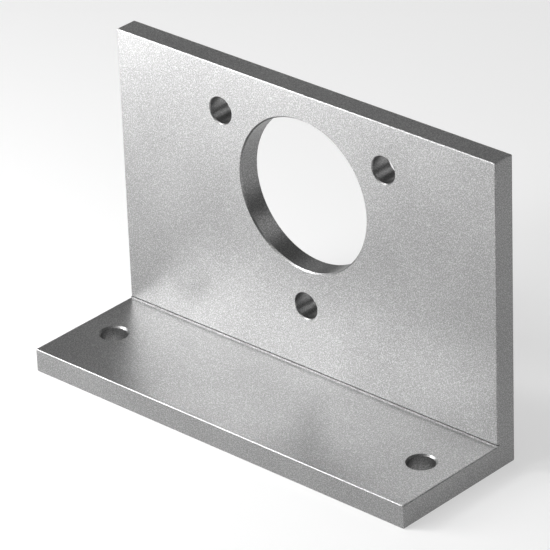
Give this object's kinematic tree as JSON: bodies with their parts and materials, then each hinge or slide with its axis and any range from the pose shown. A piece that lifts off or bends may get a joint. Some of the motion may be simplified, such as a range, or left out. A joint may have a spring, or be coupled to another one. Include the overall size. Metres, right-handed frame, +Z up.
{
  "type": "angle flange",
  "caption": "L-shaped aluminium mounting flange with a pilot bore and device screw holes in the upright, and screw holes in the base.",
  "frame": {"origin": "centre of the footprint, on the underside of the base plate", "axes": "+X across the width, +Y from the base's front edge back to the upright, +Z up along the upright"},
  "size_m": [0.0952, 0.0322, 0.0645],
  "materials": {
    "anodised_aluminium": "bead-blasted"
  },
  "bodies": {
    "root": {"angle_flange": "anodised_aluminium"}
  },
  "joints": []
}
